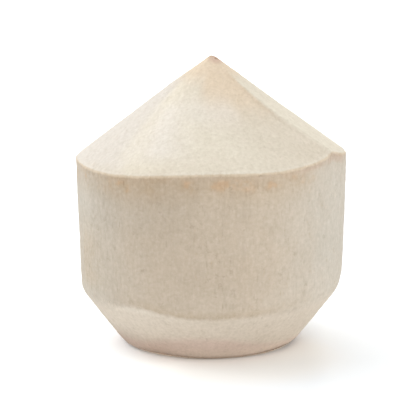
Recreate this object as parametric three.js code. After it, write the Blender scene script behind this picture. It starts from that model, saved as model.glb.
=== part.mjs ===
// A young coconut trimmed for drinking. The green skin and most of the husk are shaved away, which
// leaves one cream-white body: a conical top, an upright flank, a sloping bevel round the bottom and
// a small flat foot. Millimetres, +Z up. The origin is the middle of the ground under the flank's
// axis, in the plane of the foot.
//
// The skin is one closed grid. Each column is a meridian from the tip to the foot, made of four
// straight cuts with rounded corners between them, and the columns stand round the axis.

import * as THREE from "three";

// Heights and radii of the corners where one cut meets the next.
const TIP_HEIGHT = 128.6;
const RIM_HEIGHT = 83;
const RIM_RADIUS = 60;
const WAIST_HEIGHT = 24.8;
const WAIST_RADIUS = 58;
const FOOT_RADIUS = 38.6;

// How far each corner's rounding reaches along the cuts on its two sides.
const TIP_BLUNT = 2.4;
const RIM_ROUND = 1.2;
const WAIST_ROUND = 3.3;
const FOOT_ROUND = 2.2;

// How far the middle of each cut swells out from a straight line.
const CONE_SWELL = 0.3;
const FLANK_SWELL = 0.2;
const BEVEL_SWELL = 0.1;

// The tip and the foot sit a little off the flank's axis, along X.
const TIP_SHIFT = 0.6;
const FOOT_SHIFT = -0.9;

// The hand-held cuts wander. Each wave has so many crests a turn, a height, and one crest's azimuth.
const RIM_WAVES = [
  { crests: 1, height: 0.8, azimuth: -22 },
  { crests: 4, height: 0.9, azimuth: 0 },
];
const WAIST_WAVES = [
  { crests: 1, height: 1.25, azimuth: 20 },
  { crests: 2, height: 0.7, azimuth: 6 },
  { crests: 3, height: 1, azimuth: -24 },
];

// One blade pass shaves the cone, and it leaves a ridge where it starts and ends. The rim climbs
// to the ridge from both sides, and the ridge curls round the tip as it rises.
const RIDGE_AZIMUTH = -30;
const RIDGE_RISE = 5;
const RIDGE_REACH = 19.5;
const RIDGE_CURL = 27;

// The grid. The ridge falls on a column, because its azimuth is a whole number of columns.
const COLUMNS = 120;
const CONE_STEPS = 8;
const FLANK_STEPS = 5;
const BEVEL_STEPS = 3;
const RIM_STEPS = 3;
const WAIST_STEPS = 4;
const FOOT_STEPS = 3;

const { cos, sin, abs, exp, PI } = Math;
const radians = THREE.MathUtils.degToRad;

// The sum of a cut's waves at an azimuth in degrees.
function wander(waves, azimuth) {
  return waves.reduce(
    (sum, wave) => sum + wave.height * cos(wave.crests * radians(azimuth - wave.azimuth)),
    0,
  );
}

// The rim's climb to the ridge, a cusp that dies away on both sides of it.
function ridgeClimb(azimuth) {
  const turned = abs(THREE.MathUtils.euclideanModulo(azimuth - RIDGE_AZIMUTH + 180, 360) - 180);
  return RIDGE_RISE * exp(-turned / RIDGE_REACH);
}

// Points of the curve that rounds a corner, from one cut to the next.
function roundedCorner(before, corner, after, reach, steps) {
  const start = before.clone().sub(corner).setLength(reach).add(corner);
  const end = after.clone().sub(corner).setLength(reach).add(corner);
  return new THREE.QuadraticBezierCurve(start, corner, end).getPoints(steps);
}

// The points between two ends of a cut, with its middle swelled outwards.
function cutBetween(from, to, steps, swell) {
  const outwards = new THREE.Vector2(from.y - to.y, to.x - from.x).normalize();
  const points = [];
  for (let step = 1; step < steps; step++) {
    const along = step / steps;
    const bulge = swell * sin(PI * along);
    points.push(from.clone().lerp(to, along).addScaledVector(outwards, bulge));
  }
  return points;
}

// One column's points, in rows from just under the tip down to the foot's edge.
function column(azimuth) {
  const tip = new THREE.Vector2(0, TIP_HEIGHT);
  const rim = new THREE.Vector2(
    RIM_RADIUS,
    RIM_HEIGHT + wander(RIM_WAVES, azimuth) + ridgeClimb(azimuth),
  );
  const waist = new THREE.Vector2(WAIST_RADIUS, WAIST_HEIGHT + wander(WAIST_WAVES, azimuth));
  const foot = new THREE.Vector2(FOOT_RADIUS, 0);
  const middle = new THREE.Vector2(0, 0);

  const tipEdge = tip.clone().lerp(rim, TIP_BLUNT / tip.distanceTo(rim));
  const rimRound = roundedCorner(tip, rim, waist, RIM_ROUND, RIM_STEPS);
  const waistRound = roundedCorner(rim, waist, foot, WAIST_ROUND, WAIST_STEPS);
  const footRound = roundedCorner(waist, foot, middle, FOOT_ROUND, FOOT_STEPS);

  const cone = [tipEdge, ...cutBetween(tipEdge, rimRound[0], CONE_STEPS, CONE_SWELL), ...rimRound];
  const flank = cutBetween(rimRound.at(-1), waistRound[0], FLANK_STEPS, FLANK_SWELL);
  const bevel = cutBetween(waistRound.at(-1), footRound[0], BEVEL_STEPS, BEVEL_SWELL);

  const onCone = cone.map((point) => {
    const nearTip = 1 - point.x / RIM_RADIUS;
    return stand(point, azimuth - RIDGE_CURL * nearTip, TIP_SHIFT * nearTip ** 2);
  });
  const onFlank = [...flank, ...waistRound].map((point) => stand(point, azimuth, 0));
  const onBevel = [...bevel, ...footRound].map((point) => {
    return stand(point, azimuth, FOOT_SHIFT * (1 - point.y / waistRound.at(-1).y));
  });
  return [...onCone, ...onFlank, ...onBevel];
}

// A meridian's point, radius and height, stood at its azimuth round the axis and shifted along X.
function stand(point, azimuth, shift) {
  const turn = radians(azimuth);
  return [point.x * cos(turn) + shift, point.x * sin(turn), point.y];
}

// The whole skin: the columns' points, then the tip and the middle of the foot, joined by faces.
function huskGeometry() {
  const columns = [];
  for (let index = 0; index < COLUMNS; index++) {
    columns.push(column((360 * index) / COLUMNS));
  }
  const rows = columns[0].length;
  const tip = COLUMNS * rows;
  const footMiddle = tip + 1;
  const bluntTip = columns[0][0][2] + TIP_BLUNT * 0.25;
  const positions = [...columns.flat(2), TIP_SHIFT, 0, bluntTip, FOOT_SHIFT, 0, 0];

  const faces = [];
  for (let index = 0; index < COLUMNS; index++) {
    const here = index * rows;
    const next = ((index + 1) % COLUMNS) * rows;
    faces.push(tip, here, next);
    for (let row = 0; row < rows - 1; row++) {
      faces.push(here + row, here + row + 1, next + row);
      faces.push(next + row, here + row + 1, next + row + 1);
    }
    faces.push(footMiddle, next + rows - 1, here + rows - 1);
  }

  const geometry = new THREE.BufferGeometry();
  geometry.setAttribute("position", new THREE.Float32BufferAttribute(positions, 3));
  geometry.setIndex(faces);
  geometry.computeVertexNormals();
  return geometry;
}

// Shaved husk: cream, dry and matt, a little warmer than paper.
function huskMaterial() {
  return new THREE.MeshStandardMaterial({ color: 0xe3d7c5, roughness: 0.85, metalness: 0 });
}

const husk = new THREE.Mesh(huskGeometry(), huskMaterial());
husk.name = "trimmed_husk";

const coconut = new THREE.Group();
coconut.add(husk);

export default coconut;
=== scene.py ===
"""A young coconut trimmed for drinking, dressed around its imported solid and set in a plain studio.

The file follows the fruit: the shaved husk, the loose fibres that the knife left on it, then the
floor, the lights and the camera. Lengths are millimetres of the fruit until they go into a mesh.
"""

import math

import bpy
import numpy as np
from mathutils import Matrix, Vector


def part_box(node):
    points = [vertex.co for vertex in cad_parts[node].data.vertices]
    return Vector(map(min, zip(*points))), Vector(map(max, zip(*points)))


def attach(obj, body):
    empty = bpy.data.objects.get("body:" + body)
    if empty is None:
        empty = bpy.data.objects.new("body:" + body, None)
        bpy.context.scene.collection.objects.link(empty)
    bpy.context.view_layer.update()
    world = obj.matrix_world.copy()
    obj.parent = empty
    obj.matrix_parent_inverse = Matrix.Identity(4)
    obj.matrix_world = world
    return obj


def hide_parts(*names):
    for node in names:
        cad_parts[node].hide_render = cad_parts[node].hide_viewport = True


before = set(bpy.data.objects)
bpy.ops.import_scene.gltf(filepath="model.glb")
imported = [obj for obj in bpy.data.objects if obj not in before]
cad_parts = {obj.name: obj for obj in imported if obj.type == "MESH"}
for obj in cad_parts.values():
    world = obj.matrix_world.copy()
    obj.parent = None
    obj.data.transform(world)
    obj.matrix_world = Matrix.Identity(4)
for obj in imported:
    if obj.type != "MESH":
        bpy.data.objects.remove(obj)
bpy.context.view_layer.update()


# --- The shaved husk --------------------------------------------------------------------------
# The whole fruit in one piece: dry, cream-white husk fibre, shaved by a long blade into a cone,
# an upright flank, a bevel and a flat foot. The skin is one closed grid of meridians, with the
# blade's ripples, the torn rim and the fibres' grooves raised on it.

# One millimetre of the fruit in the frame's metres, from the solid's width across the rim.
RIM_RADIUS = 60.0
HUSK_LOW, HUSK_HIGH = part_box("trimmed_husk")
MM = (HUSK_HIGH.x - HUSK_LOW.x) / (2 * RIM_RADIUS)

# The corners where one cut meets the next, how far the rounding of each reaches along its two cuts,
# and how far the middle of each cut swells out from a straight line.
TIP_HEIGHT = 128.6
RIM_HEIGHT = 83.0
WAIST_HEIGHT = 24.8
WAIST_RADIUS = 58.0
FOOT_RADIUS = 38.6
RIM_ROUND = 1.2
WAIST_ROUND = 3.3
FOOT_ROUND = 2.7
CONE_SWELL = 0.3
FLANK_SWELL = 0.2
BEVEL_SWELL = 0.1

# The tip and the foot sit a little off the flank's axis, along X.
TIP_SHIFT = 0.6
FOOT_SHIFT = -0.9

# The fruit isn't quite round. One side is fuller, with a lower rim and more worn corners, and the
# side across from it is leaner. Each side has its azimuth and its width in degrees.
FULL_SIDE = (8, 40)
RIM_FULLER = 0.3
RIM_LOWER = 0.25
RIM_WEAR = 1.4
WAIST_FULLER = 0.8
WAIST_WEAR = 2.8
LEAN_SIDE = (172, 45)
FLANK_HOLLOW = 0.35
FOOT_LEANER = 0.45

# Where the foot's edge is rounded more: the azimuth, the width and how much.
FOOT_WEAR = ((-25, 30, 1.8), (-122, 25, 0.9))

# The hand-held cuts wander. A slow wave in a cut's edge has its crests a turn, its height and one
# crest's azimuth, and a single rise has its azimuth and its width.
RIM_WAVES = ((1, 0.8, -22), (4, 0.9, 0))
RIM_BULGE = (-44, 18)
RIM_BULGE_RISE = 0.75
WAIST_WAVES = ((1, 1.25, 20), (2, 0.7, 6), (3, 1.0, -24))
WAIST_BUMP = (-121, 13)
WAIST_BUMP_RISE = 1.3

# The blade's stroke round the cone starts and ends at a ridge. The rim climbs to it from both sides
# and it curls round the tip as it rises. The later side tore, and its rim stands higher.
RIDGE_AZIMUTH = -30
RIDGE_RISE = 5.0
RIDGE_REACH = 19.5
RIDGE_CURL = 27
TORN_STEP = (-3, 2)
TORN_RISE = 1.2
TORN_REACH = 18

# The grid's columns, the rows of each cut and corner, how much the cone's rows crowd towards the
# tip, and how far from the axis the first and the last row stand.
COLUMNS = 600
CONE_ROWS = 66
RIM_ROWS = 7
FLANK_ROWS = 40
WAIST_ROWS = 8
BEVEL_ROWS = 20
FOOT_ROWS = 6
SOLE_ROWS = 9
TIP_CROWDING = 1.35
TIP_POLE = 0.12
SOLE_POLE = 0.4


def wander(waves, azimuth):
    """The height that a cut's edge gains at an azimuth: the sum of its cosine waves."""
    return sum(
        height * np.cos(crests * np.radians(azimuth - crest)) for crests, height, crest in waves
    )


def step_up(value, low, high):
    """Goes from 0 at low to 1 at high along a smooth S, and backwards if low is the greater."""
    t = np.clip((value - low) / (high - low), 0, 1)
    return t * t * (3 - 2 * t)


def between(value, start, full, fading, end):
    """Rises from 0 at start to 1 at full and falls from 1 at fading to 0 at end, both smoothly."""
    return step_up(value, start, full) * step_up(value, end, fading)


def bell(value, middle, width):
    """A bell curve: 1 at the middle, falling by e at one width to either side."""
    return np.exp(-(((value - middle) / width) ** 2))


def turned_from_ridge(azimuth):
    """How far an azimuth is turned from the ridge's, from -180 to 180 degrees."""
    return (azimuth - RIDGE_AZIMUTH + 180) % 360 - 180


def facing(azimuth, middle, width):
    """A bell curve round the axis: 1 at the middle azimuth, falling by e at a width to each side."""
    return bell((azimuth - middle + 180) % 360 - 180, 0, width)


def heading(start, end):
    """The unit vectors from start to end, for every meridian at once."""
    return (end - start) / np.linalg.norm(end - start, axis=0)


def rounded_corner(before, corner, after, reach, rows):
    """Rounds a corner by a parabola: a quadratic Bezier curve between the two points that lie a
    reach away on the cuts before and after it, with the corner itself as its middle point."""
    start = corner + reach * heading(corner, before)
    end = corner + reach * heading(corner, after)
    t = np.linspace(0, 1, rows + 1)[:, None, None]
    return (1 - t) ** 2 * start + 2 * t * (1 - t) * corner + t**2 * end


def cut_between(start, end, rows, swell, crowding=1.0):
    """The points between two ends of a cut: a straight line whose middle is pushed outwards by
    half a sine wave. A crowding over 1 draws the rows together near the start."""
    along = heading(start, end)
    outwards = np.stack([-along[1], along[0]])
    t = (np.linspace(0, 1, rows + 1)[1:-1] ** crowding)[:, None, None]
    return start + t * (end - start) + swell * np.sin(np.pi * t) * outwards


def rim_heights(azimuth):
    """The rim's height at each azimuth: its waves and its bulge, less what the fuller side lacks,
    plus a climb to the ridge that dies away exponentially on both sides of it."""
    turned = turned_from_ridge(azimuth)
    climb = RIDGE_RISE * np.exp(-np.abs(turned) / RIDGE_REACH)
    climb += TORN_RISE * step_up(turned, *TORN_STEP) * np.exp(-np.maximum(turned, 0) / TORN_REACH)
    climb += RIM_BULGE_RISE * facing(azimuth, *RIM_BULGE)
    return RIM_HEIGHT + wander(RIM_WAVES, azimuth) + climb - RIM_LOWER * facing(azimuth, *FULL_SIDE)


def meridians(azimuth):
    """Radius and height of every point, as (rows, 2, columns), from the tip to the foot's middle:
    four straight cuts joined by rounded corners. Also gives each corner's row."""
    ones = np.ones_like(azimuth)
    full = facing(azimuth, *FULL_SIDE)
    lean = facing(azimuth, *LEAN_SIDE)
    waist_height = WAIST_HEIGHT + wander(WAIST_WAVES, azimuth)
    waist_height += WAIST_BUMP_RISE * facing(azimuth, *WAIST_BUMP)
    tip = np.stack([TIP_POLE * ones, TIP_HEIGHT * ones])
    rim = np.stack([RIM_RADIUS + RIM_FULLER * full, rim_heights(azimuth)])
    waist = np.stack([WAIST_RADIUS + WAIST_FULLER * full, waist_height])
    foot = np.stack([FOOT_RADIUS - FOOT_LEANER * lean, 0 * ones])
    middle = np.stack([SOLE_POLE * ones, 0 * ones])

    rim_round = rounded_corner(tip, rim, waist, RIM_ROUND + RIM_WEAR * full, RIM_ROWS)
    waist_reach = WAIST_ROUND + WAIST_WEAR * full
    waist_round = rounded_corner(rim, waist, foot, waist_reach, WAIST_ROWS)
    foot_reach = FOOT_ROUND + sum(more * facing(azimuth, at, wide) for at, wide, more in FOOT_WEAR)
    foot_round = rounded_corner(waist, foot, middle, foot_reach, FOOT_ROWS)
    stretches = (
        tip[None],
        cut_between(tip, rim_round[0], CONE_ROWS, CONE_SWELL, TIP_CROWDING),
        rim_round,
        cut_between(rim_round[-1], waist_round[0], FLANK_ROWS, FLANK_SWELL - FLANK_HOLLOW * lean),
        waist_round,
        cut_between(waist_round[-1], foot_round[0], BEVEL_ROWS, BEVEL_SWELL),
        foot_round,
        cut_between(foot_round[-1], middle, SOLE_ROWS, 0),
        middle[None],
    )
    ends = np.cumsum([len(stretch) for stretch in stretches])
    corner_rows = {
        "rim": ends[2] - RIM_ROWS // 2 - 1,
        "waist": ends[4] - WAIST_ROWS // 2 - 1,
        "foot": ends[6] - FOOT_ROWS // 2 - 1,
    }
    return np.concatenate(stretches), corner_rows


def stand_up(profile, azimuth, corner_rows):
    """Points in space, as (rows, columns, 3): each meridian turned to its azimuth. On the cone the
    azimuth falls back towards the tip, which curls the ridge, and the tip and the foot are
    shifted along X."""
    radius, height = profile[:, 0], profile[:, 1]
    row = np.arange(len(profile))[:, None]
    near_tip = np.where(row <= corner_rows["rim"], np.clip(1 - radius / RIM_RADIUS, 0, 1), 0)
    near_foot = np.where(row > corner_rows["waist"], np.clip(1 - height / WAIST_HEIGHT, 0, 1), 0)
    turn = np.radians(azimuth - RIDGE_CURL * near_tip)
    x = radius * np.cos(turn) + TIP_SHIFT * near_tip**2 + FOOT_SHIFT * near_foot
    return np.stack([x, radius * np.sin(turn), height], axis=-1)


def outward_normals(points):
    """Unit normals of the grid: the cross product of the step down a meridian and the step round
    the axis, which the columns close."""
    down = np.gradient(points, axis=0)
    round_axis = np.roll(points, -1, axis=1) - np.roll(points, 1, axis=1)
    normals = np.cross(down, round_axis)
    return normals / np.maximum(np.linalg.norm(normals, axis=-1, keepdims=True), 1e-9)


def plane_waves(points, shortest, longest, stretch, seed, count=70):
    """Smooth noise of unit spread: the sum of plane waves with random headings, starts and
    wavelengths between the two given. Along Z every wavelength is stretch times as long, so a
    stretch over 1 gives upright fibres."""
    draw = np.random.default_rng(seed)
    heading_z = draw.uniform(-1, 1, count)
    turn = draw.uniform(0, 2 * np.pi, count)
    flat = np.sqrt(1 - heading_z**2)
    directions = np.stack([flat * np.cos(turn), flat * np.sin(turn), heading_z / stretch])
    lengths = np.exp(draw.uniform(np.log(shortest), np.log(longest), count))
    phase = points @ (2 * np.pi * directions / lengths) + draw.uniform(0, 2 * np.pi, count)
    return np.cos(phase).sum(axis=-1) * np.sqrt(2 / count)


azimuths = np.arange(COLUMNS) * 360 / COLUMNS
profile, corner_rows = meridians(azimuths)
husk_points = stand_up(profile, azimuths, corner_rows)
husk_normals = outward_normals(husk_points)

# Where each point is: its way along the meridian from each corner, its distance from the axis, and
# its way round from the ridge, turned in degrees and from_ridge in millimetres.
steps = np.linalg.norm(np.diff(husk_points, axis=0), axis=-1)
walked = np.concatenate([np.zeros((1, COLUMNS)), np.cumsum(steps, axis=0)])
from_tip = walked
from_rim = walked - walked[corner_rows["rim"]]
from_waist = walked - walked[corner_rows["waist"]]
from_foot = walked - walked[corner_rows["foot"]]
from_axis = profile[:, 0]
turned = turned_from_ridge(azimuths)
from_ridge = np.radians(turned) * from_axis

# Which cut a point is on, from 0 to 1: how far from each corner the cut starts and is full.
CONE_TO_RIM = (0.5, -0.5)
FLANK_FROM_RIM = (-0.5, 0.8)
FLANK_TO_WAIST = (0.5, -1.5)
BEVEL_FROM_WAIST = (-0.5, 1.5)
BEVEL_TO_FOOT = (0.3, -0.5)
SOLE_FROM_FOOT = (0.5, 1.5)
on_cone = step_up(from_rim, *CONE_TO_RIM)
on_flank = step_up(from_rim, *FLANK_FROM_RIM) * step_up(from_waist, *FLANK_TO_WAIST)
on_bevel = step_up(from_waist, *BEVEL_FROM_WAIST) * step_up(from_foot, *BEVEL_TO_FOOT)
on_sole = step_up(from_foot, *SOLE_FROM_FOOT)

# The blade's ripples on each cut: crests a turn, height and one crest's azimuth.
FLANK_RIPPLES = ((9, 0.09, 12), (14, 0.07, 80), (23, 0.05, 33), (37, 0.03, 5))
CONE_RIPPLES = ((11, 0.06, 20), (19, 0.04, 44), (31, 0.03, 70))
RIPPLES_FADE = (2, 26)

# The chatter that the blade left across the flank: it is slanted, and long round the fruit.
CHATTER_HEIGHT = 0.035
CHATTER_LONG = (0.25, 0.25, 1.0)
CHATTER_SLANT = 0.12

# The step along the seam, the groove below it and a faint second ridge. SEAM_WIDTH is half the
# step's run, and the step falls by e over SEAM_FADE. The others are their place and their width.
SEAM_STEP = 0.5
SEAM_WIDTH = 1.2
SEAM_FADE = 11
SEAM_GROOVE = (-1.2, 0.9)
SEAM_GROOVE_DEPTH = 0.05
SECOND_SEAM = (6.5, 0.8)
SECOND_SEAM_HEIGHT = 0.125

# The fibres' grooves follow noise of unit spread where it is over GROOVE_START, and get no deeper
# after GROOVE_LIMIT more. Each cut has its share of the grooves, and its crumbs' and blotches' height.
GROOVE_DEPTH = 0.08
GROOVE_START = 0.5
GROOVE_LIMIT = 2
FINE_GROOVE_DEPTH = 0.03
FLANK_TEXTURE = (1.0, 0.03, 0.05)
CONE_TEXTURE = (0.4, 0.035, 0.04)
BEVEL_TEXTURE = (0.3, 0.03, 0.05)
CONE_TEXTURE_FADE = (1, 12)

# The blade rode out a little near the tip on the leaner side: the way from the tip and the width.
CONE_FULLER_PLACE = (22, 9)
CONE_FULLER = 0.36

# The rim's frayed lip and the dip under it, and the frayed edge of the waist: place and width.
RIM_LIP = (0, 0.9)
RIM_LIP_HEIGHT = 0.07
RIM_LIP_FRAY = 0.8
UNDER_RIM = (2.6, 1.1)
UNDER_RIM_DEPTH = 0.06
UNDER_RIM_FRAY = 0.5
WAIST_FRAY = (-0.6, 1.4)
WAIST_FRAY_HEIGHT = 0.06
FOOT_SMOOTH = (-1.2, 0.2)

RIM_NICKS = 40
RIM_NICK_SEED = 5
RIM_NICK_WIDTHS = (0.4, 1.6)
RIM_NICK_DEPTHS = (0.05, 0.35)


def rim_nicks(azimuth, seed):
    """How deep the rim is nicked at each azimuth: the sum of narrow bells at random places."""
    draw = np.random.default_rng(seed)
    place = draw.uniform(0, 360, RIM_NICKS)[:, None]
    width = draw.uniform(*RIM_NICK_WIDTHS, RIM_NICKS)[:, None]
    depth = draw.uniform(*RIM_NICK_DEPTHS, RIM_NICKS)[:, None]
    apart = (azimuth - place + 180) % 360 - 180
    return (depth * bell(apart, 0, width)).sum(axis=0)


# Noise for the relief: its shortest and longest waves, and how many times as long they are upright.
fibres = plane_waves(husk_points, 1.4, 4.5, 4, seed=11)
fine_fibres = plane_waves(husk_points, 1.3, 2.4, 5, seed=12)
crumbs = plane_waves(husk_points, 1.6, 5.0, 1, seed=13)
blotches = plane_waves(husk_points, 9, 30, 2.5, seed=14)
fray = plane_waves(husk_points, 1.3, 6, 1, seed=15)
slanted = husk_points * CHATTER_LONG + CHATTER_SLANT * husk_points[..., :1]
chatter = plane_waves(slanted, 3, 12, 1, seed=17)

# The blade's long stroke round the cone ends where it began, and the later side stands proud.
seam = SEAM_STEP * step_up(from_ridge, -SEAM_WIDTH, SEAM_WIDTH)
seam = seam * np.exp(-np.maximum(from_ridge, 0) / SEAM_FADE)
seam -= SEAM_GROOVE_DEPTH * bell(from_ridge, *SEAM_GROOVE)
seam += SECOND_SEAM_HEIGHT * bell(from_ridge, *SECOND_SEAM)

grooves = -GROOVE_DEPTH * np.clip(fibres - GROOVE_START, 0, GROOVE_LIMIT)
grooves -= FINE_GROOVE_DEPTH * fine_fibres


def cut_texture(groove_share, crumb_height, blotch_height):
    """A cut's texture: a share of the grooves, and the crumbs' and the blotches' noise by height."""
    return groove_share * grooves + crumb_height * crumbs + blotch_height * blotches


away_from_tip = step_up(from_axis, *RIPPLES_FADE)
relief = on_flank * (wander(FLANK_RIPPLES, azimuths) + cut_texture(*FLANK_TEXTURE))
relief += on_flank * CHATTER_HEIGHT * chatter
relief += on_cone * away_from_tip * (wander(CONE_RIPPLES, azimuths) + seam)
relief += on_cone * step_up(from_axis, *CONE_TEXTURE_FADE) * cut_texture(*CONE_TEXTURE)
relief += on_bevel * cut_texture(*BEVEL_TEXTURE)
relief += CONE_FULLER * facing(azimuths, *LEAN_SIDE) * bell(from_tip, *CONE_FULLER_PLACE)
lip = RIM_LIP_HEIGHT * (1 + RIM_LIP_FRAY * fray) - rim_nicks(azimuths, RIM_NICK_SEED)
relief += bell(from_rim, *RIM_LIP) * lip
relief -= bell(from_rim, *UNDER_RIM) * UNDER_RIM_DEPTH * (1 + UNDER_RIM_FRAY * fray)
relief += bell(from_waist, *WAIST_FRAY) * WAIST_FRAY_HEIGHT * fray
relief *= 1 - step_up(from_foot, *FOOT_SMOOTH)
husk_points = husk_points + relief[..., None] * husk_normals

# The knife's last stroke left the tip blunt, and a bruise beside it. What stands over a sloping
# plane is taken off by a soft minimum, and the bruise is a shallow dent.
TIP_SCAR_HEIGHT = 128.0
TIP_SCAR_SLOPE = 0.25
TIP_SCAR_SOFTNESS = 0.25
BRUISE = np.array([2.4, -1.8, 126.5])
BRUISE_WIDTH = 1.1
BRUISE_DENT = 0.12
scar_plane = TIP_SCAR_HEIGHT - TIP_SCAR_SLOPE * (husk_points[..., 0] - TIP_SHIFT)
above = (husk_points[..., 2] - scar_plane) / TIP_SCAR_SOFTNESS
husk_points[..., 2] -= TIP_SCAR_SOFTNESS * np.logaddexp(0, above)
from_bruise = np.linalg.norm(husk_points - BRUISE, axis=-1)
husk_points -= (BRUISE_DENT * bell(from_bruise, 0, BRUISE_WIDTH))[..., None] * husk_normals

# The sole is cut a little hollow inside its edge, and the knife marked it. How far inside the edge
# each starts and is full, and where the marks' noise is clipped.
SOLE_HOLLOW = 0.5
SOLE_HOLLOW_REACH = (3, 14)
SOLE_MARKS = 0.12
SOLE_MARKS_REACH = (3, 8)
SOLE_MARKS_LIMIT = 1.5
inside_edge = FOOT_RADIUS - from_axis
husk_points[..., 2] += on_sole * SOLE_HOLLOW * step_up(inside_edge, *SOLE_HOLLOW_REACH)
marks = np.clip(plane_waves(husk_points, 1.5, 5, 8, seed=16), -SOLE_MARKS_LIMIT, SOLE_MARKS_LIMIT)
marks = SOLE_MARKS * step_up(inside_edge, *SOLE_MARKS_REACH) * (marks + SOLE_MARKS_LIMIT)
husk_points[..., 2] += on_sole * marks

# The stains and worn places, and the painted highlights, light and shade among them. Reaches are
# millimetres along the meridian from the corner named, and sectors are degrees turned from the ridge.
# Of two numbers the stain starts at one and is full at the other, or they are a bell's middle and
# width where it says so. Four go to between().

# Juice has stained the cut fibre tan: round the tip, and down the sector before the seam.
TIP_STAIN_REACH = (28, 5)
STAINED_SECTOR = (-68, -40)
STAINED_REACH = (62, 12)
SEAM_SIDE = (0.8, -0.6)
SEAM_SIDE_SHADE = (-42, -6, -1.2, 1.2)
round_tip = step_up(from_tip, *TIP_STAIN_REACH)
before_seam = step_up(turned, *STAINED_SECTOR) * step_up(from_ridge, *SEAM_SIDE)
tip_stain = on_cone * np.maximum(round_tip, before_seam * step_up(from_tip, *STAINED_REACH))
# Painted shade darkens the cone on the near side of the seam.
seam_side_shade = on_cone * between(from_ridge, *SEAM_SIDE_SHADE)

# The cone is palest in a swath that the blade took last, a bell, and where the next stroke crossed
# it, a bell along the meridian.
SWATH_PALE = 0.9
SWATH = (-82, 14)
SWATH_REACH = (26, 40, 62, 74)
CROSS_PALE = 0.6
CROSS_SECTOR = (-95, -75, -34, -18)
CROSS = (38, 9)
pale_swath = SWATH_PALE * bell(turned, *SWATH) * between(from_tip, *SWATH_REACH)
pale_cross = CROSS_PALE * between(turned, *CROSS_SECTOR) * bell(from_tip, *CROSS)
cone_pale = on_cone * np.maximum(pale_swath, pale_cross)

# The cone is darker near its lower edge, in a wide strip on one side and a narrow one next to it.
WIDE_STRIP = 0.35
WIDE_STRIP_SECTOR = (-95, -70)
WIDE_STRIP_REACH = (-16, -7)
EDGE_STRIP = 0.4
EDGE_STRIP_SECTOR = (-135, -115, -86, -66)
EDGE_STRIP_REACH = (-7, -2)
DARKER_TO_SEAM = (4, -8)
cone_darker_low = WIDE_STRIP * step_up(turned, *WIDE_STRIP_SECTOR) * step_up(from_rim, *WIDE_STRIP_REACH)
cone_darker_low += EDGE_STRIP * between(turned, *EDGE_STRIP_SECTOR) * step_up(from_rim, *EDGE_STRIP_REACH)
cone_darker_low *= on_cone * step_up(turned, *DARKER_TO_SEAM)

# Juice runs in a ragged band under the rim. It is faint all round and stronger where the fruit was
# held, in two sectors, each after its strength, and most of all in a bell. Right at the edge a darker
# line, a bell both ways, is partly painted shade under the rim's lip and partly juice soaked in once
# more.
BAND_REACH = (16, 2)
BAND_ALL_ROUND = 0.12
BAND_SECTORS = ((0.3, (-180, -140, -26, -8)), (0.28, (-118, -96, -26, -8)))
BAND_HELD = 0.3
HELD_SECTOR = (-90, 16)
UNDER_LIP_LINE = 0.6
UNDER_LIP_SECTOR = (-84, 12)
UNDER_LIP_REACH = (1.2, 1.8)
held = BAND_ALL_ROUND + BAND_HELD * bell(turned, *HELD_SECTOR)
for more, sector in BAND_SECTORS:
    held += more * between(turned, *sector)
rim_stain_and_shade = on_flank * step_up(from_rim, *BAND_REACH) * held
rim_stain_and_shade += UNDER_LIP_LINE * bell(turned, *UNDER_LIP_SECTOR) * bell(from_rim, *UNDER_LIP_REACH)

# A darker line lies low on the seam's own edge, darkest at one place from the tip. It is partly
# painted shade at the foot of the seam's step and partly stain. All are bells.
SEAM_LINE = (-1.1, 0.9)
SEAM_LINE_FAINT = 0.03
SEAM_LINE_DARK = 0.24
seam_shade_line = SEAM_LINE_FAINT + SEAM_LINE_DARK * bell(from_tip, *CROSS)
seam_shade_line = seam_shade_line * bell(from_ridge, *SEAM_LINE)

# Where the seam meets the rim the fibre tore and went brown: along the rim before the ridge, a bell
# both ways, and in a patch under the rim beyond it.
TORN_EDGE = 0.85
TORN_EDGE_SECTOR = (-14, 9)
TORN_EDGE_REACH = (1.2, 1.0)
TORN_PATCH = 0.8
TORN_PATCH_SECTOR = (-5, -1, 9, 20)
TORN_PATCH_REACH = (4.3, 2.4)
torn_edge = TORN_EDGE * bell(turned, *TORN_EDGE_SECTOR) * bell(from_rim, *TORN_EDGE_REACH)
torn_patch = TORN_PATCH * between(turned, *TORN_PATCH_SECTOR) * step_up(from_rim, *TORN_PATCH_REACH)
torn = np.maximum(torn_edge, torn_patch * on_flank)

# The pink that the foot's edge has taken. It climbs highest, a bell, on the side that lay wettest.
PINK_REACH = 5
PINK_CLIMB = 10
PINK_SECTOR = (-62, 34)
PINK_SOFT = (-3, 3.5)
pink_reach = PINK_REACH + PINK_CLIMB * bell(turned, *PINK_SECTOR)
foot_stain = on_bevel * step_up(from_foot + pink_reach, *PINK_SOFT)

# The dark line on the foot's edge, partly dirt and partly painted shadow where the foot meets the
# floor, and the brown above it on one side. The line is darker and wider round FOOT_DARKEST, an
# azimuth, by two widths.
FOOT_DARKEST = -28
FOOT_LINE_PLACE = -0.2
FOOT_LINE_WIDTH = 1.5
FOOT_LINE_WIDER = 0.4
FOOT_WIDER_SIDE = 30
FOOT_LINE_FAINT = 0.18
FOOT_LINE_DARK = 0.77
FOOT_DARK_SIDE = 32
line_width = FOOT_LINE_WIDTH + FOOT_LINE_WIDER * facing(azimuths, FOOT_DARKEST, FOOT_WIDER_SIDE)
foot_dirt_and_shadow = FOOT_LINE_FAINT + FOOT_LINE_DARK * facing(azimuths, FOOT_DARKEST, FOOT_DARK_SIDE)
foot_dirt_and_shadow = foot_dirt_and_shadow * bell(from_foot, FOOT_LINE_PLACE, line_width)
FOOT_BROWNED = 0.36
BROWNED_REACH = (-18, -2)
BROWNED_SECTOR = (-180, -140, -92, -62)
foot_brown = FOOT_BROWNED * on_bevel * step_up(from_foot, *BROWNED_REACH)
foot_brown *= between(turned, *BROWNED_SECTOR)

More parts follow.
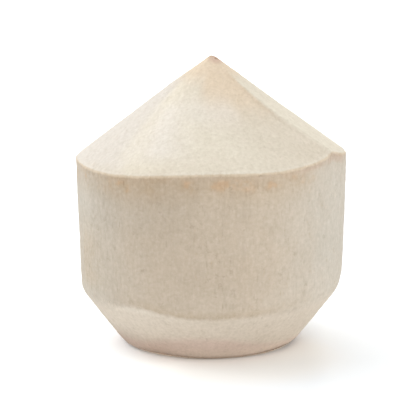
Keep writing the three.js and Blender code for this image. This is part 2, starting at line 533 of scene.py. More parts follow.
# The bevel's colour begins crisply in one sector, under a straw line, and runs in elsewhere.
CRISP_SECTOR = (-116, -100, -50, -12)
STRAW_LINE = 0.2
STRAW_LINE_PLACE = (-0.8, 2.0)
STRAW_LINE_SECTOR = (-105, -85, -36, -14)
waist_crisp = between(turned, *CRISP_SECTOR)
waist_blur = np.broadcast_to(1 - waist_crisp, from_rim.shape)
waist_line = STRAW_LINE * bell(from_waist, *STRAW_LINE_PLACE) * between(turned, *STRAW_LINE_SECTOR)

# Painted light in pale places: a lip along the waist and a spot low on the bevel, which are bells both
# ways, and the flank above the waist, a bell along the meridian, where the floor's light falls.
WAIST_LIP = 0.35
WAIST_LIP_PLACE = (1.9, 1.4)
WAIST_LIP_SECTOR = (-92, 12)
BEVEL_SPOT = 0.5
BEVEL_SPOT_PLACE = (-5.5, 4)
BEVEL_SPOT_SECTOR = (14, 12)
FLANK_PALE = 0.2
FLANK_PALE_PLACE = (-5, 8)
FLANK_PALE_SECTOR = (-110, -70)
waist_painted_light = WAIST_LIP * bell(from_waist, *WAIST_LIP_PLACE) * bell(turned, *WAIST_LIP_SECTOR)
bevel_spot = bell(from_foot, *BEVEL_SPOT_PLACE) * bell(turned, *BEVEL_SPOT_SECTOR)
waist_painted_light += BEVEL_SPOT * on_bevel * bevel_spot
flank_painted_light = FLANK_PALE * on_flank * bell(from_waist, *FLANK_PALE_PLACE)
flank_painted_light *= step_up(turned, *FLANK_PALE_SECTOR)

# Straw-coloured juice has dried on the flank's lower half, a bell round the axis.
STRAW_PATCH = 0.55
STRAW_PATCH_SECTOR = (-127, 14)
STRAW_PATCH_REACH = (-42, -22, -9, 1)
flank_straw = STRAW_PATCH * bell(turned, *STRAW_PATCH_SECTOR)
flank_straw = flank_straw * between(from_waist, *STRAW_PATCH_REACH)

# Painted shade darkens the husk's colour: one side over its whole height, a bell by azimuth, a strip
# under the rim that starts at SHADE_STRIP_FROM and is stronger in one sector than the next, and a spot
# beside the seam. PLACE is a bell along the meridian, and so is the spot's sector round the axis.
SHADED_SIDE = (176, 34)
SHADE_STRIP_FROM = (-125, -108)
STRIP_FAINT = 0.15
STRIP_FAINT_SECTOR = (-8, -36)
STRIP_STRONG = 0.45
STRIP_STRONG_SECTOR = (-62, -84)
STRIP_PLACE = (15, 12)
DIM_SPOT = 0.3
DIM_SPOT_SECTOR = (-7, 5)
DIM_SPOT_PLACE = (14, 14)
standing = np.degrees(np.arctan2(husk_points[..., 1], husk_points[..., 0]))
strip = STRIP_FAINT * step_up(turned, *STRIP_FAINT_SECTOR)
strip += STRIP_STRONG * step_up(turned, *STRIP_STRONG_SECTOR)
strip *= step_up(turned, *SHADE_STRIP_FROM)
painted_shade = facing(standing, *SHADED_SIDE)
painted_shade += on_flank * strip * bell(from_rim, *STRIP_PLACE)
painted_shade += DIM_SPOT * on_flank * bell(turned, *DIM_SPOT_SECTOR) * bell(from_rim, *DIM_SPOT_PLACE)

# Where the cut has dried paler and greyer: the cone's far side, and all of the flank but the side
# that the band stains.
DRIED_CONE_SECTOR = (78, 118)
MOIST_FLANK_SECTOR = (-130, -80, -50, 6)
dried_cone = step_up(np.abs(turned), *DRIED_CONE_SECTOR)
dried_flank = 1 - between(turned, *MOIST_FLANK_SECTOR)
dried = on_cone * dried_cone + (1 - on_cone) * dried_flank


def skin_mesh(name, points):
    """A closed mesh from the grid: its rows of points, joined round the axis into quads, and one
    more point at each pole, the mean of the row beside it, joined by a fan."""
    rows, columns = points.shape[:2]
    poles = np.stack([points[0].mean(axis=0), points[-1].mean(axis=0)])
    vertices = np.concatenate([points.reshape(-1, 3), poles]) * MM
    here = np.arange(rows - 1)[:, None] * columns + np.arange(columns)
    there = np.arange(rows - 1)[:, None] * columns + (np.arange(columns) + 1) % columns
    quads = np.stack([here, here + columns, there + columns, there], axis=-1).reshape(-1, 4)
    first, second = np.arange(columns), (np.arange(columns) + 1) % columns
    tip, sole = rows * columns, rows * columns + 1
    last = (rows - 1) * columns
    tip_fan = np.stack([np.full(columns, tip), first, second], axis=-1)
    sole_fan = np.stack([np.full(columns, sole), last + second, last + first], axis=-1)
    mesh = bpy.data.meshes.new(name)
    mesh.from_pydata(vertices.tolist(), [], quads.tolist() + tip_fan.tolist() + sole_fan.tolist())
    mesh.shade_smooth()
    return mesh


def add_field(mesh, name, values):
    """Stores one number for each point, which a material reads as the attribute of that name.
    The two poles take the mean of the row beside them."""
    field = mesh.attributes.new(name, "FLOAT", "POINT")
    flat = np.concatenate([values.ravel(), [values[0].mean(), values[-1].mean()]])
    field.data.foreach_set("value", flat.astype(np.float32))


def add_piece(name, mesh):
    """Links a mesh to the scene as an object at the origin, riding on the fruit's one body."""
    piece = bpy.data.objects.new(name, mesh)
    bpy.context.scene.collection.objects.link(piece)
    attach(piece, "root")
    return piece


husk_mesh = skin_mesh("shaved_husk", husk_points)
for field_name, field_values in (
    ("from_tip", from_tip),
    ("from_rim", from_rim),
    ("from_waist", from_waist),
    ("from_foot", from_foot),
    ("from_bruise", from_bruise),
    ("tip_stain", tip_stain),
    ("seam_side_shade", seam_side_shade),
    ("rim_stain_and_shade", rim_stain_and_shade),
    ("seam_shade_line", seam_shade_line),
    ("torn", torn),
    ("foot_stain", foot_stain),
    ("foot_dirt_and_shadow", foot_dirt_and_shadow),
    ("foot_brown", foot_brown),
    ("waist_line", waist_line),
    ("waist_painted_light", waist_painted_light),
    ("waist_blur", waist_blur),
    ("flank_painted_light", flank_painted_light),
    ("flank_straw", flank_straw),
    ("cone_pale", cone_pale),
    ("cone_darker_low", cone_darker_low),
    ("painted_shade", painted_shade),
    ("dried", dried),
):
    add_field(husk_mesh, field_name, field_values)
husk = add_piece("shaved_husk", husk_mesh)
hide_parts("trimmed_husk")


def add(tree, kind, inputs=(), **settings):
    """Adds one shader node. The settings are its own properties, and inputs gives its sockets, by
    name or number, a value or another node's output."""
    made = tree.nodes.new("ShaderNode" + kind)
    for setting, value in settings.items():
        setattr(made, setting, value)
    for socket, value in dict(inputs).items():
        if isinstance(value, bpy.types.NodeSocket):
            tree.links.new(value, made.inputs[socket])
        else:
            made.inputs[socket].default_value = value
    return made


def maths(tree, operation, first, second=0.0, third=0.0):
    """One operation on up to three numbers, each a value or another node's output."""
    numbers = {0: first, 1: second, 2: third}
    return add(tree, "Math", numbers, operation=operation).outputs[0]


def vector_maths(tree, operation, inputs, output=0):
    """One operation on vectors, its inputs by name or number. An output of 1 gives a distance."""
    return add(tree, "VectorMath", inputs, operation=operation).outputs[output]


def ramp(tree, value, low, high, at_low=0.0, at_high=1.0):
    """Takes a value from at_low, where it is low or less, to at_high along a smooth S."""
    inputs = {"Value": value, "From Min": low, "From Max": high, "To Min": at_low, "To Max": at_high}
    return add(tree, "MapRange", inputs, interpolation_type="SMOOTHSTEP").outputs["Result"]


def band(tree, value, start, full, fading, end, strength=1.0):
    """A mask that rises from start to its strength at full, and falls from fading to end."""
    rising = ramp(tree, value, start, full, 0.0, strength)
    return maths(tree, "MULTIPLY", rising, ramp(tree, value, fading, end, 1.0, 0.0))


def noise(tree, vector, cells, layers):
    """Cloudy noise from 0 to 1, about a half, with that many cells to the unit and that many finer
    layers over them, each a little over half as strong as the one before it."""
    inputs = {"Vector": vector, "Scale": cells, "Detail": layers, "Roughness": 0.55}
    return add(tree, "TexNoise", inputs).outputs["Fac"]


def stored(tree, field):
    """A number stored at each point of the mesh."""
    return add(tree, "Attribute", attribute_name=field).outputs["Fac"]


def centred(tree, value, strength):
    """How far a noise is from a half, times the strength."""
    return maths(tree, "MULTIPLY_ADD", value, strength, -0.5 * strength)


def wobble(tree, value, shake, jitter):
    """A value shifted by a noise, by up to half the jitter either way."""
    return maths(tree, "ADD", value, centred(tree, shake, jitter))


def tint(tree, mask, base, colour):
    """Lays a colour over a base as far as the mask says."""
    return add(tree, "Mix", {0: mask, 6: base, 7: colour}, data_type="RGBA").outputs[2]


def srgb(red, green, blue):
    """A colour given by its 0 to 255 screen values, as the linear one that nodes take."""
    channels = [value / 255 for value in (red, green, blue)]
    linear = [c / 12.92 if c <= 0.04045 else ((c + 0.055) / 1.055) ** 2.4 for c in channels]
    return (*linear, 1.0)


# The grain's noises and lattices, by how many of their cells stand in a fibre's width, and the slow
# mottle, by its cells in a millimetre.
SPECKLE_CELLS = 1.3
PITH_CELLS = 0.6
ENDS_CELLS = 0.6
PITS_CELLS = 0.24
MOTTLE_CELLS = 0.075

# Which cells of a lattice hold a fibre's end or a pit, by the cell's random number, and how far
# from the cell's middle the end or the pit starts and is full. Pits have a ragged edge.
ENDS_PICK = (0.6, 0.95)
ENDS_REACH = (0.36, 0.1)
PITS_PICK = (0.45, 0.9)
PITS_REACH = (0.3, 0.1)
PITS_RAGGED = 0.9

# What each part adds to the height, next to 1 for the streaks.
SPECKLE_RISE = 0.7
PITH_RISE = 1.2
PITS_RISE = -0.8
ENDS_RISE = -0.6


def fibre_grain_group():
    """The grain of husk: upright bundles of fibre in pith, through the whole fruit. A cut along the
    bundles shows streaks, and a cut across them shows dots, because the pattern is solid.

    Streaks is noise whose Z is squeezed, Speckle and Pith are even noise, the first finer. Ends is
    1 inside small cells of a jittered lattice, squeezed as the streaks are, and Pits the same in
    cells that are wider and not squeezed. Mottle is slow cloudy noise, and Height joins the first
    five for bump."""
    group = bpy.data.node_groups.new("fibre_grain", "ShaderNodeTree")
    sockets = group.interface
    sockets.new_socket("Position", in_out="INPUT", socket_type="NodeSocketVector")
    sockets.new_socket("Fibre Width", in_out="INPUT", socket_type="NodeSocketFloat")
    sockets.new_socket("Squeeze", in_out="INPUT", socket_type="NodeSocketFloat")
    for name in ("Streaks", "Speckle", "Pith", "Ends", "Pits", "Mottle", "Height"):
        sockets.new_socket(name, in_out="OUTPUT", socket_type="NodeSocketFloat")
    given = group.nodes.new("NodeGroupInput").outputs
    result = group.nodes.new("NodeGroupOutput").inputs
    place = given["Position"]

    def per_width(cells):
        """A noise's or a lattice's scale, from its cells in a fibre's width."""
        return maths(group, "DIVIDE", cells, given["Fibre Width"])

    flatten = add(group, "CombineXYZ", {"X": 1.0, "Y": 1.0, "Z": given["Squeeze"]}).outputs[0]
    squeezed = vector_maths(group, "MULTIPLY", {0: place, 1: flatten})
    streaks = noise(group, squeezed, per_width(1.0), 2.0)
    speckle = noise(group, place, per_width(SPECKLE_CELLS), 3.0)
    pith = noise(group, place, per_width(PITH_CELLS), 2.0)
    mottle = noise(group, place, MOTTLE_CELLS, 2.0)
    cells = add(group, "TexVoronoi", {"Vector": squeezed, "Scale": per_width(ENDS_CELLS)}).outputs
    pick = add(group, "SeparateColor", {"Color": cells["Color"]}).outputs[0]
    dots = ramp(group, cells["Distance"], *ENDS_REACH)
    ends = maths(group, "MULTIPLY", dots, ramp(group, pick, *ENDS_PICK))
    cells = add(group, "TexVoronoi", {"Vector": place, "Scale": per_width(PITS_CELLS)}).outputs
    pick = add(group, "SeparateColor", {"Color": cells["Color"]}).outputs[1]
    dots = ramp(group, wobble(group, cells["Distance"], speckle, PITS_RAGGED), *PITS_REACH)
    pits = maths(group, "MULTIPLY", dots, ramp(group, pick, *PITS_PICK))
    height = streaks
    for part, rise in (
        (speckle, SPECKLE_RISE),
        (pith, PITH_RISE),
        (pits, PITS_RISE),
        (ends, ENDS_RISE),
    ):
        height = maths(group, "MULTIPLY_ADD", part, rise, height)
    for name, value in (
        ("Streaks", streaks),
        ("Speckle", speckle),
        ("Pith", pith),
        ("Ends", ends),
        ("Pits", pits),
        ("Mottle", mottle),
        ("Height", height),
    ):
        group.links.new(value, result[name])
    return group


fibre_grain = fibre_grain_group()

CUT_CREAM = srgb(212, 204, 187)
CUT_WHITE = srgb(208, 201, 191)
DARKER_CREAM = srgb(205, 195, 178)
CONE_PALE = srgb(216, 209, 198)
CONE_STAIN = srgb(210, 193, 170)
TIP_ROSE = srgb(196, 170, 152)
SEAM_SHADE_TAN = srgb(180, 160, 134)
BRUISE_BROWN = srgb(150, 118, 100)
HIGHLIGHT_PALE = srgb(220, 212, 199)
FLANK_TAN = srgb(184, 169, 150)
FLANK_GREY = srgb(184, 176, 163)
FLANK_STRAW = srgb(182, 164, 140)
EDGE_SHADE_TAN = srgb(180, 162, 142)
EDGE_HIGHLIGHT_STRAW = srgb(204, 186, 161)
TORN_BROWN = srgb(179, 160, 143)
BAND_TAN = srgb(174, 153, 127)
BAND_ORANGE = srgb(190, 156, 122)
WAIST_STRAW = srgb(184, 164, 136)
BEVEL_CREAM = srgb(206, 194, 178)
FOOT_PINK = srgb(204, 184, 170)
FOOT_PAINTED_LIGHT = srgb(212, 194, 178)
FOOT_BROWN = srgb(160, 128, 112)
FOOT_EDGE = srgb(112, 86, 60)
SOLE_TAN = srgb(190, 168, 142)

# How wide the husk's fibres are, in millimetres, and the squeeze along Z that makes them four to
# five times as long.
HUSK_GRAIN = {"Fibre Width": 1.0, "Squeeze": 0.22}

# The two noises that make the stains' edges ragged, by their cells in a millimetre and their layers,
# and how many millimetres, or how much of a stain's strength, each edge is thrown about by.
RAGGED = (0.45, 4.0)
PATCHES = (0.13, 3.0)
RIM_JITTER = 1.0
WAIST_JITTER = 2.5
FOOT_JITTER = 5.0
BRUISE_JITTER = 1.2
STAIN_JITTER = 0.5
PALE_JITTER = 0.3

# Where each colour lies: two places and its strength at each, which is 0 and then 1 if none is
# given, or a band's start, full, fading and end, and its strength. Lengths are from the corner, the
# tip or the bruise. DRIED_CONE and TIP_STAIN go by their fields, and the patches by their noise.
DRIED_CONE = (0.2, 1.0)
TIP_STAIN = (0.05, 0.95)
ROSE_REACH = (1.8, 4.8, 0.8, 0.0)
BRUISE_REACH = (0.3, 1.5, 1.0, 0.0)
TIP_SCAR_REACH = (0.5, 2.4, 0.5, 0.0)
RIM_EDGE = (-0.9, 0.7)
BLOTCHY = (0.36, 0.6, 0.55, 1.0)
ORANGE_PATCHES = (0.54, 0.68)
ORANGE_BAND = (1, 3, 5, 9, 0.8)
# Just under the rim: partly painted shade under the rim's lip, partly its brown frayed edge.
EDGE_SHADE_BAND = (-0.4, 0.4, 1.2, 4.0, 0.35)
# Painted highlight along the rim: a pale band on the cone just above it, and a straw line on its
# corner.
RIM_HIGHLIGHT_BAND = (-2.6, -1.4, -0.9, -0.4, 0.2)
EDGE_HIGHLIGHT_BAND = (-0.9, -0.3, 0.2, 0.8, 0.6)
# Painted light: the bevel turns paler towards the foot, where the floor's light falls.
FOOT_LIGHT_REACH = (-10, -2)
SOLE_REACH = (0.6, 2.5)

# Where the bevel's colour starts and is full, from the waist: how far a blur of 1 moves each, and
# where it is with no blur.
BEVEL_START = (-4.5, -0.4)
BEVEL_FULL = (5.0, 2.6)

# How much each grain lightens and darkens the husk. Fibre ends and pits only darken it, the ends
# more in patches, and both less on the cone than on the flank.
GRAIN_SHADES = {"Mottle": 0.10, "Streaks": 0.12, "Speckle": 0.11, "Pith": 0.28}
ENDS_SHADE = (0.45, 0.62, -0.04, -0.15)
ENDS_ON_CONE = 0.35
PITS_SHADE = (-0.02, -0.08)
# How much the painted shade darkens the husk where it is full.
PAINTED_SHADE_DEPTH = -0.12

# How much the grain sways red, green and blue: its dark streaks and dots are warmer than the husk.
GRAIN_TONE = (1.0, 1.07, 1.25)

# The husk is a little smoother where the streaks are pale: two levels of them, and the roughness at
# each. Then how much it shines, and how strong and how high its bump is.
HUSK_ROUGHNESS = (0.3, 0.7, 0.95, 0.82)
SPECULAR_LEVEL = 0.2
BUMP_STRENGTH = 0.32
BUMP_HEIGHT = 0.25


def husk_material():
    """Dry shaved husk. The colour starts as the cut's own cream, takes the stains, bands and pale
    edges, among them painted highlights, painted light and painted shade, by how far the point is from
    the tip, rim, waist, foot and ridge, ends with the fibres' streaks and dots, and is darkened last
    by painted shade."""
    material = bpy.data.materials.new("shaved_husk")
    material.use_nodes = True
    tree = material.node_tree
    shader = tree.nodes["Principled BSDF"]

    place = add(tree, "TexCoord").outputs["Object"]
    in_mm = vector_maths(tree, "SCALE", {0: place, "Scale": 1 / MM})
    grain = add(tree, "Group", {"Position": in_mm, **HUSK_GRAIN}, node_tree=fibre_grain).outputs
    ragged = noise(tree, in_mm, *RAGGED)
    patches = noise(tree, in_mm, *PATCHES)

    def field(name, shake=None, jitter=0.0):
        """A stored number, thrown about by a noise where one is given."""
        value = stored(tree, name)
        return value if shake is None else wobble(tree, value, shake, jitter)

    def lay(mask, base, colour):
        """Lays a colour over a base where the mask says. A mask may be the name of a field."""
        return tint(tree, field(mask) if isinstance(mask, str) else mask, base, colour)

    rim = field("from_rim", ragged, RIM_JITTER)
    waist = field("from_waist", ragged, WAIST_JITTER)
    foot = field("from_foot", ragged, FOOT_JITTER)
    bruise = field("from_bruise", ragged, BRUISE_JITTER)
    dried = field("dried", patches, STAIN_JITTER)
    stain = field("tip_stain", patches, STAIN_JITTER)
    blotchy = ramp(tree, patches, *BLOTCHY)

    cone = lay(ramp(tree, dried, *DRIED_CONE), CUT_CREAM, CUT_WHITE)
    # Painted shade on the cone beside the seam.
    cone = lay(field("seam_side_shade", patches, PALE_JITTER), cone, DARKER_CREAM)
    cone = lay(ramp(tree, stain, *TIP_STAIN), cone, CONE_STAIN)
    cone = lay(field("cone_pale", patches, PALE_JITTER), cone, CONE_PALE)
    cone = lay("cone_darker_low", cone, DARKER_CREAM)
    # Painted shade and stain in the line at the seam's foot.
    cone = lay("seam_shade_line", cone, SEAM_SHADE_TAN)
    cone = lay(ramp(tree, bruise, *ROSE_REACH), cone, TIP_ROSE)
    cone = lay(ramp(tree, bruise, *BRUISE_REACH), cone, BRUISE_BROWN)
    cone = lay(ramp(tree, field("from_tip"), *TIP_SCAR_REACH), cone, BRUISE_BROWN)

    flank = lay(dried, FLANK_TAN, FLANK_GREY)
    flank = lay(maths(tree, "MULTIPLY", field("flank_straw"), blotchy), flank, FLANK_STRAW)

    colour = lay(ramp(tree, rim, *RIM_EDGE), cone, flank)
    # The juice band, with the painted shade of the line at its upper edge.
    colour = lay(maths(tree, "MULTIPLY", field("rim_stain_and_shade"), blotchy), colour, BAND_TAN)
    orange = ramp(tree, patches, *ORANGE_PATCHES)
    orange = maths(tree, "MULTIPLY", orange, band(tree, rim, *ORANGE_BAND))
    colour = lay(maths(tree, "MULTIPLY", orange, field("rim_stain_and_shade")), colour, BAND_ORANGE)
    # Painted shade under the rim's lip, with its brown frayed edge.
    colour = lay(band(tree, rim, *EDGE_SHADE_BAND), colour, EDGE_SHADE_TAN)
    # Painted highlight along the rim.
    colour = lay(band(tree, rim, *RIM_HIGHLIGHT_BAND), colour, HIGHLIGHT_PALE)
    colour = lay(band(tree, rim, *EDGE_HIGHLIGHT_BAND), colour, EDGE_HIGHLIGHT_STRAW)
    colour = lay("torn", colour, TORN_BROWN)
    # Painted light from the floor on the flank above the waist.
    colour = lay("flank_painted_light", colour, BEVEL_CREAM)
    colour = lay("waist_line", colour, WAIST_STRAW)

    blur = field("waist_blur")
    bevel_starts = maths(tree, "MULTIPLY_ADD", blur, *BEVEL_START)
    bevel_full = maths(tree, "MULTIPLY_ADD", blur, *BEVEL_FULL)
    colour = lay(ramp(tree, waist, bevel_starts, bevel_full), colour, BEVEL_CREAM)
    # Painted light on the waist's lip and low on the bevel.
    colour = lay(field("waist_painted_light", ragged, PALE_JITTER), colour, HIGHLIGHT_PALE)
    colour = lay(field("foot_stain", ragged, STAIN_JITTER), colour, FOOT_PINK)
    # Painted light, paler towards the foot.
    colour = lay(ramp(tree, foot, *FOOT_LIGHT_REACH), colour, FOOT_PAINTED_LIGHT)
    colour = lay("foot_brown", colour, FOOT_BROWN)
    # Dirt and painted contact shadow on the foot's edge.
    colour = lay("foot_dirt_and_shadow", colour, FOOT_EDGE)
    colour = lay(ramp(tree, foot, *SOLE_REACH), colour, SOLE_TAN)

    shade = 0.0
    for name, strength in GRAIN_SHADES.items():
        shade = maths(tree, "ADD", centred(tree, grain[name], strength), shade)
    on_flank_more = ramp(tree, rim, *RIM_EDGE, ENDS_ON_CONE, 1.0)
    ends_shade = maths(tree, "MULTIPLY", ramp(tree, patches, *ENDS_SHADE), on_flank_more)
    shade = maths(tree, "MULTIPLY_ADD", grain["Ends"], ends_shade, shade)
    pits_shade = ramp(tree, rim, *RIM_EDGE, *PITS_SHADE)
    shade = maths(tree, "MULTIPLY_ADD", grain["Pits"], pits_shade, shade)
    toning = vector_maths(tree, "MULTIPLY_ADD", {0: shade, 1: GRAIN_TONE, 2: (1, 1, 1)})
    toned = vector_maths(tree, "MULTIPLY", {0: colour, 1: toning})
    # Last, the painted shade darkens the colour.
    dimmed = maths(tree, "MULTIPLY_ADD", field("painted_shade"), PAINTED_SHADE_DEPTH, 1.0)
    shaded = vector_maths(tree, "SCALE", {0: toned, "Scale": dimmed})

    roughness = ramp(tree, grain["Streaks"], *HUSK_ROUGHNESS)
    relief = {"Strength": BUMP_STRENGTH, "Distance": BUMP_HEIGHT * MM, "Height": grain["Height"]}
    bump = add(tree, "Bump", relief).outputs[0]
    tree.links.new(shaded, shader.inputs["Base Color"])
    tree.links.new(roughness, shader.inputs["Roughness"])
    tree.links.new(bump, shader.inputs["Normal"])
    shader.inputs["Specular IOR Level"].default_value = SPECULAR_LEVEL
    return material


husk_mesh.materials.append(husk_material())


# --- The loose fibres -------------------------------------------------------------------------
# Ends of husk fibre that the blade pulled out instead of cutting: short, stiff, cream to straw
# coloured hairs, thick at the rim, the seam, the tip and the foot's edge and thin elsewhere. Each one
# is a curved three-sided spike, rooted in the skin and closed at both ends.

# How many fibres, how long and how thick, and where their rings stand, as shares of the length. The
# root is sunk a little into the skin, and no point of the middle line is nearer the floor than
# FLOOR_GAP.
FIBRE_COUNT = 2600
FIBRE_SEED = 21
FIBRE_LENGTHS = (0.7, 2.6)
FIBRE_THICKNESS = (0.06, 0.11)
FIBRE_SIDES = 3
FIBRE_RINGS = np.array([0.0, 0.3, 0.6, 0.85])
FIBRE_SUNK = 0.08
FLOOR_GAP = 0.07

# How thick the fibres grow: everywhere alike, and so much more at each edge, in a bell by the way
# from it. The seam's bell is on the cone alone.
THICK_ALL_OVER = 0.6
THICK_AT_RIM, RIM_BELL = 30, (0.4, 0.5)
THICK_AT_WAIST, WAIST_BELL = 6, (0, 1.5)
THICK_AT_FOOT, FOOT_BELL = 14, (0, 1)
THICK_AT_TIP, TIP_BELL = 25, (2.5, 1.5)
THICK_AT_SEAM, SEAM_BELL = 12, (0, 0.7)
at_edges = THICK_AT_RIM * bell(from_rim, *RIM_BELL) + THICK_AT_WAIST * bell(from_waist, *WAIST_BELL)
at_edges += THICK_AT_FOOT * bell(from_foot, *FOOT_BELL) + THICK_AT_TIP * bell(from_tip, *TIP_BELL)
at_edges += on_cone * away_from_tip * THICK_AT_SEAM * bell(from_ridge, *SEAM_BELL)

# How the fibres stand: their sway off the lie of the grain, in radians, their lift off the skin, in
# degrees, with more where they are ragged, and their bend for each length, random and downwards.
# Fibres are ragged where they are as thick as RAGGED_FULL, and shorter there by RAGGED_SHORTER.
FIBRE_SWAY = 0.35
FIBRE_LIFTS = (3, 16)
RAGGED_LIFTS = (0, 35)
RAGGED_FULL = 10
RAGGED_SHORTER = 0.35
FIBRE_BEND = 0.3
FIBRE_DROOP = 0.12


def unit(vectors):
    """The vectors, each scaled to a length of 1."""
    return vectors / np.linalg.norm(vectors, axis=-1, keepdims=True)


def fibre_roots(draw):
    """The skin point where each fibre stands: drawn at random, with odds that go by how thick the
    fibres grow there and by the area of skin that belongs to the point."""
    down = np.gradient(walked, axis=0)
    across = 2 * np.pi * from_axis / COLUMNS
    odds = ((THICK_ALL_OVER + at_edges) * down * across).ravel()
    return draw.choice(odds.size, FIBRE_COUNT, p=odds / odds.sum())


def fibre_spines(draw, roots):
    """The middle line of every fibre, as (fibres, rings and point, 3), with its heading. It leaves
    the skin near the lie of the grain, at a lift, and bends away as the square of its length."""
    normal = unit(outward_normals(husk_points).reshape(-1, 3)[roots])
    down = unit(np.gradient(husk_points, axis=0).reshape(-1, 3)[roots])
    across = np.cross(normal, down)
    sway = draw.normal(0, FIBRE_SWAY, FIBRE_COUNT)[:, None]
    lie = np.cos(sway) * down + np.sin(sway) * across
    lie *= draw.choice((-1, 1), FIBRE_COUNT)[:, None]
    ragged = np.clip(at_edges.ravel()[roots] / RAGGED_FULL, 0, 1)
    lift = draw.uniform(*FIBRE_LIFTS, FIBRE_COUNT)
    lift = np.radians(lift + ragged * draw.uniform(*RAGGED_LIFTS, FIBRE_COUNT))
    heading_out = np.cos(lift)[:, None] * lie + np.sin(lift)[:, None] * normal
    bend = FIBRE_BEND * draw.normal(0, 1, (FIBRE_COUNT, 3)) - FIBRE_DROOP * normal
    length = draw.uniform(*FIBRE_LENGTHS, FIBRE_COUNT) * (1 - RAGGED_SHORTER * ragged)
    t = np.append(FIBRE_RINGS, 1.0)[None, :, None]
    reach = t * heading_out[:, None] + t**2 * bend[:, None]
    start = husk_points.reshape(-1, 3)[roots] - FIBRE_SUNK * normal
    spines = start[:, None] + length[:, None, None] * reach
    spines[..., 2] = np.maximum(spines[..., 2], FLOOR_GAP)
    return spines, heading_out, normal


def spike_mesh(name, spines, heading_out, normal, thickness):
    """A closed spike round each line: three-sided rings that shrink as the square root of what is
    left of the length, a point at the end and a face over the root."""
    count, rings = len(spines), len(FIBRE_RINGS)
    side = unit(np.cross(heading_out, normal))
    top = np.cross(side, heading_out)
    turn = 2 * np.pi * np.arange(FIBRE_SIDES) / FIBRE_SIDES
    spoke = np.cos(turn)[None, :, None] * top[:, None] + np.sin(turn)[None, :, None] * side[:, None]
    radius = thickness[:, None] / 2 * np.sqrt(1 - FIBRE_RINGS)
    around = spines[:, :rings, None] + radius[..., None, None] * spoke[:, None]
    vertices = np.concatenate([around.reshape(count, -1, 3), spines[:, rings:]], axis=1)
    corner = np.arange(FIBRE_SIDES)
    after = (corner + 1) % FIBRE_SIDES
    low = FIBRE_SIDES * np.arange(rings - 1)[:, None]
    high = low + FIBRE_SIDES
    wall = np.stack([low + corner, low + after, high + after, high + corner], axis=-1)
    last = FIBRE_SIDES * (rings - 1)
    point = np.stack([last + corner, last + after, np.full(FIBRE_SIDES, last + FIBRE_SIDES)], -1)
    each = np.arange(count)[:, None, None] * vertices.shape[1]
    quads = (each + wall.reshape(1, -1, 4)).reshape(-1, 4)
    tris = (each + np.concatenate([point, corner[None, ::-1]])[None]).reshape(-1, 3)
    mesh = bpy.data.meshes.new(name)
    mesh.from_pydata((vertices * MM).reshape(-1, 3).tolist(), [], quads.tolist() + tris.tolist())
    mesh.shade_smooth()
    return mesh


FIBRE_CREAM = srgb(216, 206, 188)
FIBRE_STRAW = srgb(192, 168, 132)
FIBRE_GRAIN = {"Fibre Width": 1.6, "Squeeze": 0.6}
STRAW_MOTTLE = 0.8
FIBRE_SHADE = 0.3
FIBRE_ROUGHNESS = (0.3, 0.7, 0.8, 0.6)
FIBRE_BUMP = 0.2
FIBRE_BUMP_HEIGHT = 0.03


def fibre_material():
    """Dry fibre: cream on the cone and straw where the skin is stained, both mottled by the pith
    that clings to it and shaded by the grain."""
    material = bpy.data.materials.new("loose_fibre")
    material.use_nodes = True
    tree = material.node_tree
    shader = tree.nodes["Principled BSDF"]
    place = add(tree, "TexCoord").outputs["Object"]
    in_mm = vector_maths(tree, "SCALE", {0: place, "Scale": 1 / MM})
    grain = add(tree, "Group", {"Position": in_mm, **FIBRE_GRAIN}, node_tree=fibre_grain).outputs
    straw = wobble(tree, stored(tree, "straw"), grain["Pith"], STRAW_MOTTLE)
    colour = tint(tree, straw, FIBRE_CREAM, FIBRE_STRAW)
    shade = maths(tree, "ADD", centred(tree, grain["Speckle"], FIBRE_SHADE), 1.0)
    shaded = vector_maths(tree, "SCALE", {0: colour, "Scale": shade})
    roughness = ramp(tree, grain["Streaks"], *FIBRE_ROUGHNESS)
    relief = {"Strength": FIBRE_BUMP, "Distance": FIBRE_BUMP_HEIGHT * MM, "Height": grain["Height"]}
    bump = add(tree, "Bump", relief).outputs[0]
    tree.links.new(shaded, shader.inputs["Base Color"])
    tree.links.new(roughness, shader.inputs["Roughness"])
    tree.links.new(bump, shader.inputs["Normal"])
    return material


draw = np.random.default_rng(FIBRE_SEED)
roots = fibre_roots(draw)
spines, heading_out, normal = fibre_spines(draw, roots)
thickness = draw.uniform(*FIBRE_THICKNESS, FIBRE_COUNT)
fibre_mesh = spike_mesh("loose_fibres", spines, heading_out, normal, thickness)
points_each = FIBRE_SIDES * len(FIBRE_RINGS) + 1
straw = np.maximum(on_flank, tip_stain).ravel()[roots]
straw_field = fibre_mesh.attributes.new("straw", "FLOAT", "POINT")
straw_field.data.foreach_set("value", np.repeat(straw, points_each).astype(np.float32))
fibre_mesh.materials.append(fibre_material())
add_piece("loose_fibres", fibre_mesh)


# --- The floor --------------------------------------------------------------------------------
# A white table top of opal sheet, far wider than the view. The sheet itself gives off a painted glow
# beyond the fruit, with no lamp under it, so that it fades to pure white and only the fruit's own
# shadow shows on it.

FLOOR_HALF_WIDTH = 6.0

# The sheet is a cool white, and warmer in a spot in front of the fruit that fades out over WARM:
# painted warm light thrown back from the fruit. Places and distances on the floor are metres.
FLOOR_WHITE = (0.915, 0.942, 0.965, 1)
FLOOR_BOUNCE = (0.935, 0.925, 0.9, 1)
WARM_MIDDLE = (0.012, -0.035, 0)
WARM = (0.030, 0.055)

# The sheet's painted glow: its strength, and the distances over which it comes or goes. RING and FAR
# are from the middle of the foot, and so is UNDER, where a warm painted glow fills the gap under the
# foot's edge. BESIDE is to either side of the shadow's middle.
RING_GLOW = 0.03
RING = (0.055, 0.10)
FAR_GLOW = 0.6
FAR = (0.4, 1.6)
UNDER_GLOW = 0.3
UNDER_TINT = (1.0, 0.8, 0.58)
UNDER = (0.036, 0.038)
BESIDE_GLOW = 0.05
BESIDE = (0.022, 0.036)
SHADOW_MIDDLE = 0.018
FLOOR_ROUGHNESS = 0.9


